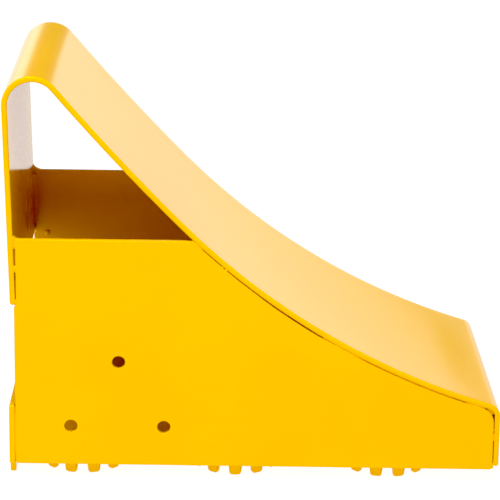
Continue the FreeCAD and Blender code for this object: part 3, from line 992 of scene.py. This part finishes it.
class Nodes:
    """Short calls for the node tree of one material, or of the world."""

    def __init__(self, owner):
        owner.use_nodes = True
        self.tree = owner.node_tree
        self.tree.nodes.clear()

    def add(self, kind, **settings):
        node = self.tree.nodes.new(kind)
        for name, value in settings.items():
            setattr(node, name, value)
        return node

    def link(self, source, target):
        self.tree.links.new(source, target)

    def noise(self, spot, scale, detail=3.0, rough=0.55):
        """Noise at a place in space, around 0.5."""
        node = self.add("ShaderNodeTexNoise")
        node.inputs["Scale"].default_value = scale
        node.inputs["Detail"].default_value = detail
        node.inputs["Roughness"].default_value = rough
        self.link(spot, node.inputs["Vector"])
        return node.outputs["Fac"]

    def ranged(self, source, low, high, from_low=0.0, from_high=1.0):
        """A value mapped from one range to another."""
        node = self.add("ShaderNodeMapRange")
        values = (from_low, from_high, low, high)
        for name, value in zip(("From Min", "From Max", "To Min", "To Max"), values):
            node.inputs[name].default_value = value
        self.link(source, node.inputs["Value"])
        return node.outputs["Result"]

    def mix(self, factor, one, other):
        """Colour mix; each colour is a socket or a plain value."""
        node = self.add("ShaderNodeMix", data_type="RGBA")
        self.link(factor, node.inputs["Factor"])
        for socket, value in ((node.inputs["A"], one), (node.inputs["B"], other)):
            if isinstance(value, bpy.types.NodeSocket):
                self.link(value, socket)
            else:
                socket.default_value = (*value, 1.0)
        return node.outputs["Result"]

    def sum_of(self, one, other):
        node = self.add("ShaderNodeMath", operation="ADD", use_clamp=True)
        self.link(one, node.inputs[0])
        self.link(other, node.inputs[1])
        return node.outputs[0]

    def bump(self, height, distance, strength, under=None):
        """Normal bent by a height, on top of another bump if one is given."""
        node = self.add("ShaderNodeBump")
        node.inputs["Distance"].default_value = distance
        node.inputs["Strength"].default_value = strength
        self.link(height, node.inputs["Height"])
        if under is not None:
            self.link(under, node.inputs["Normal"])
        return node.outputs["Normal"]

    def edges(self, radius):
        """1 on sharp edges and 0 on flat faces, from how far a rounded normal turns."""
        rounded = self.add("ShaderNodeBevel", samples=6)
        rounded.inputs["Radius"].default_value = radius
        flat = self.add("ShaderNodeNewGeometry")
        dot = self.add("ShaderNodeVectorMath", operation="DOT_PRODUCT")
        self.link(rounded.outputs["Normal"], dot.inputs[0])
        self.link(flat.outputs["Normal"], dot.inputs[1])
        return self.ranged(dot.outputs["Value"], 1.0, 0.0, 0.72, 0.99)


COAT = (0.80, 0.44, 0.0)
COAT_DEEP = (0.785, 0.42, 0.0)
COAT_THIN = (0.79, 0.42, 0.0)
COAT_POOLED = (0.74, 0.37, 0.0)
GLOSS_TINT = (1.0, 0.62, 0.0)
COAT_IOR = 1.5
EDGE_WIDTH = 0.0009
EDGE_COLOUR_SHARE = 0.75
EDGE_ROUGHNESS = 0.06
DRIFT_SCALE = 9.0
MOTTLE_SCALE = 140.0
SPECKLE_SCALE = 90.0
STREAK_SCALE = (3.0, 42.0, 3.0)
STREAK_GAIN = 2.5
WAVE_SCALE = 26.0
WAVE_HEIGHT = 0.0006
PEEL_SCALE = 480.0
PEEL_HEIGHT = 0.00005

# Each coat's strength of peel and of waves, its roughness and its share of pooled patches.
SHEET_COAT = (0.008, 0.035, 0.14, 0.10)
CROWN_COAT = (0.06, 0.03, 0.22, 0.5)
WELD_COAT = (0.10, 0.0, 0.18, 0.4)


def coat_colour(n, spot, edge, pooled):
    """Slow drift of tone, small pooled patches, and a thinner coat on the edges."""
    drift = n.ranged(n.noise(spot, DRIFT_SCALE, 2.0), 0.0, 1.0, 0.35, 0.65)
    colour = n.mix(drift, COAT, COAT_DEEP)
    mottle = n.ranged(n.noise(spot, MOTTLE_SCALE, 4.0), 0.0, pooled, 0.45, 0.75)
    colour = n.mix(mottle, colour, COAT_POOLED)
    return n.mix(n.ranged(edge, 0.0, EDGE_COLOUR_SHARE), colour, COAT_THIN)


def coat_roughness(n, spot, edge, rough):
    """Nearly even gloss, a little duller on the edges."""
    grain = n.noise(spot, SPECKLE_SCALE, 3.0)
    speckle = n.ranged(grain, rough - 0.015, rough + 0.02, 0.3, 0.7)
    return n.sum_of(speckle, n.ranged(edge, 0.0, EDGE_ROUGHNESS))


def coat_normal(n, spot, peel, wave):
    """Fine streaks down the strip, slow waves in the metal, and orange peel on top."""
    drawn = n.add("ShaderNodeMapping")
    drawn.inputs["Scale"].default_value = STREAK_SCALE
    n.link(spot, drawn.inputs["Vector"])
    lines = n.noise(drawn.outputs["Vector"], 1.0, 3.0)
    streaks = n.bump(lines, WAVE_HEIGHT, wave * STREAK_GAIN)
    waves = n.bump(n.noise(spot, WAVE_SCALE, 1.5), WAVE_HEIGHT, wave, streaks)
    return n.bump(n.noise(spot, PEEL_SCALE, 1.0, 0.3), PEEL_HEIGHT, peel, waves)


def powder_coat(name, peel, wave, rough, pooled):
    """Glossy powder coat, from the strength of its peel and waves, its roughness and pooling."""
    material = bpy.data.materials.new(name)
    n = Nodes(material)
    spot = n.add("ShaderNodeTexCoord").outputs["Object"]
    edge = n.edges(EDGE_WIDTH)
    colour = coat_colour(n, spot, edge, pooled)
    roughness = coat_roughness(n, spot, edge, rough)
    normal = coat_normal(n, spot, peel, wave)
    shader = n.add("ShaderNodeBsdfPrincipled")
    n.link(colour, shader.inputs["Base Color"])
    n.link(roughness, shader.inputs["Roughness"])
    n.link(normal, shader.inputs["Normal"])
    shader.inputs["IOR"].default_value = COAT_IOR
    shader.inputs["Specular Tint"].default_value = (*GLOSS_TINT, 1.0)
    output = n.add("ShaderNodeOutputMaterial")
    n.link(shader.outputs["BSDF"], output.inputs["Surface"])
    return material


FLOOR_GLOW = 0.95
FLOOR_DARK = (0.11, 0.11, 0.11)
FLOOR_LIGHT = (0.13, 0.13, 0.13)


def plain_floor():
    """Light table: it glows white, so the chock hardly shades it."""
    material = bpy.data.materials.new("pale_floor")
    n = Nodes(material)
    grain = n.noise(n.add("ShaderNodeTexCoord").outputs["Object"], 60.0, 4.0)
    colour = n.mix(grain, FLOOR_DARK, FLOOR_LIGHT)
    shader = n.add("ShaderNodeBsdfPrincipled")
    shader.inputs["Roughness"].default_value = 0.9
    shader.inputs["Specular IOR Level"].default_value = 0.1
    shader.inputs["Emission Color"].default_value = (1.0, 1.0, 1.0, 1.0)
    shader.inputs["Emission Strength"].default_value = FLOOR_GLOW
    n.link(colour, shader.inputs["Base Color"])
    output = n.add("ShaderNodeOutputMaterial")
    n.link(shader.outputs["BSDF"], output.inputs["Surface"])
    return material


# ---------------------------------------------------------------- floor, light and camera

# The floor's half size and its drop below the teeth, in metres.
FLOOR_HALF = 30.0
FLOOR_DROP = 0.0002

# The camera: place, lens and sensor in millimetres, angles in degrees.
CAMERA_PLACE = Vector((-37.87, -1484.73, 628.06))
CAMERA_PITCH = 18.026
CAMERA_YAW = -1.3242
CAMERA_ROLL = 1.3201
CAMERA_LENS = 151.62
SENSOR = 36.0

BLACK_LEVEL = 0.03


def make_floor():
    """Floor just under the crowns' teeth, too wide for its edge to show."""
    size = FLOOR_HALF
    corners = [(-size, -size), (size, -size), (size, size), (-size, size)]
    mesh = bpy.data.meshes.new("floor")
    work = bmesh.new()
    work.faces.new([work.verts.new((x, y, -FLOOR_DROP)) for x, y in corners])
    work.to_mesh(mesh)
    work.free()
    mesh.materials.append(plain_floor())
    floor = bpy.data.objects.new("floor", mesh)
    scene.collection.objects.link(floor)


# Backdrop brightness against the sine of the elevation, before its strength.
SKY_STOPS = (
    (0.0, 0.86),
    (0.18, 0.82),
    (0.22, 0.70),
    (0.26, 0.48),
    (0.30, 0.32),
    (0.36, 0.22),
    (0.50, 0.12),
    (0.70, 0.22),
    (1.0, 0.40),
)
SKY_STRENGTH = 1.5

# The dim part dips in the middle: how far, round which sideways direction, and where it ends.
SKY_DIP = 0.26
SKY_DIP_CENTRE = 0.03
SKY_DIP_INNER = 0.06
SKY_DIP_OUTER = 0.32


def sky_dip(n, sideways):
    """How far the dim part of the backdrop dips, from the direction's sideways part."""
    shift = n.add("ShaderNodeMath", operation="SUBTRACT")
    n.link(sideways, shift.inputs[0])
    shift.inputs[1].default_value = SKY_DIP_CENTRE
    aside = n.add("ShaderNodeMath", operation="ABSOLUTE")
    n.link(shift.outputs[0], aside.inputs[0])
    fade = n.add("ShaderNodeMapRange", interpolation_type="SMOOTHSTEP")
    values = (SKY_DIP_INNER, SKY_DIP_OUTER, SKY_DIP, 0.0)
    for name, value in zip(("From Min", "From Max", "To Min", "To Max"), values):
        fade.inputs[name].default_value = value
    n.link(aside.outputs[0], fade.inputs["Value"])
    return fade.outputs["Result"]


def make_world():
    """White backdrop that turns dim above a soft edge."""
    world = bpy.data.worlds.new("studio")
    n = Nodes(world)
    split = n.add("ShaderNodeSeparateXYZ")
    n.link(n.add("ShaderNodeTexCoord").outputs["Generated"], split.inputs[0])
    height = n.add("ShaderNodeMath", operation="ADD")
    n.link(split.outputs["Z"], height.inputs[0])
    n.link(sky_dip(n, split.outputs["X"]), height.inputs[1])

    ramp = n.add("ShaderNodeValToRGB")
    elements = ramp.color_ramp.elements
    while len(elements) < len(SKY_STOPS):
        elements.new(0.5)
    for element, (at, value) in zip(elements, SKY_STOPS):
        element.position = at
        element.color = (value, value, value, 1.0)
    n.link(height.outputs[0], ramp.inputs["Fac"])

    light = n.add("ShaderNodeBackground")
    light.inputs["Strength"].default_value = SKY_STRENGTH
    n.link(ramp.outputs["Color"], light.inputs["Color"])
    output = n.add("ShaderNodeOutputWorld")
    n.link(light.outputs["Background"], output.inputs["Surface"])
    scene.world = world


# Soft boxes: name, width and height, watts, place and the point they face, all in metres.
LIGHTS = (
    ("overhead", 1.4, 1.0, 41.0, (-0.32, -0.6, 1.9), (0.0, 0.0, 0.1)),
    ("front", 2.4, 0.5, 15.0, (0.1, -2.4, 0.2), (0.0, 0.0, 0.1)),
)


def make_light(name, width, height, power, position, target):
    """Soft box that faces a target, seen only by what it lights."""
    lamp = bpy.data.lights.new(name, "AREA")
    lamp.shape = "RECTANGLE"
    lamp.size = width
    lamp.size_y = height
    lamp.energy = power
    holder = bpy.data.objects.new(name, lamp)
    holder.location = position
    direction = Vector(target) - Vector(position)
    holder.rotation_euler = direction.to_track_quat("-Z", "Y").to_euler()
    holder.visible_camera = False
    scene.collection.objects.link(holder)


def make_camera():
    """Long lens on the near side, looking slightly down."""
    pitch, yaw, roll = (math.radians(a) for a in (CAMERA_PITCH, CAMERA_YAW, CAMERA_ROLL))
    flat_right = Vector((math.cos(yaw), math.sin(yaw), 0))
    flat_ahead = Vector((-math.sin(yaw), math.cos(yaw), 0))
    up = Vector((0, 0, 1))
    ahead = flat_ahead * math.cos(pitch) - up * math.sin(pitch)
    level_up = up * math.cos(pitch) + flat_ahead * math.sin(pitch)
    right = flat_right * math.cos(roll) + level_up * math.sin(roll)
    tilted_up = level_up * math.cos(roll) - flat_right * math.sin(roll)
    turn = Matrix((right, tilted_up, -ahead)).transposed()
    data = bpy.data.cameras.new("camera")
    data.lens = CAMERA_LENS
    data.sensor_width = SENSOR
    data.clip_end = 100.0
    camera = bpy.data.objects.new("camera", data)
    camera.matrix_world = Matrix.Translation(CAMERA_PLACE * MM) @ turn.to_4x4()
    scene.collection.objects.link(camera)
    scene.camera = camera


def set_film():
    """Plain view with a slightly raised black point, as contrasty studio pictures have."""
    view = scene.view_settings
    view.view_transform = "Standard"
    view.look = "None"
    view.use_curve_mapping = True
    view.curve_mapping.black_level = (BLACK_LEVEL,) * 3
    view.curve_mapping.update()


# ---------------------------------------------------------------- the whole chock


def main():
    """Every piece of the chock, then its floor, light and camera."""
    sheet_coat = powder_coat("yellow_powder_coat", *SHEET_COAT)
    crown_coat = powder_coat("crown_powder_coat", *CROWN_COAT)
    weld_coat = powder_coat("coated_weld", *WELD_COAT)
    make_sheet(sheet_coat)
    for side, sign in (("right", -1), ("left", 1)):
        make_side_plate(side, sign, sheet_coat)
    make_base_plate(sheet_coat)
    make_heel_plate(sheet_coat)
    crowns = []
    for side in ("right", "left"):
        for name in ("heel", "middle", "toe"):
            node = f"grip_crown_{name}_{side}"
            half_tooth = math.pi / CROWN_TEETH
            make_crown(node, 0.0 if name == "middle" else half_tooth, crown_coat)
            crowns.append(node)
    make_welds(weld_coat, crowns)

    make_floor()
    make_world()
    for light in LIGHTS:
        make_light(*light)
    make_camera()
    set_film()


main()

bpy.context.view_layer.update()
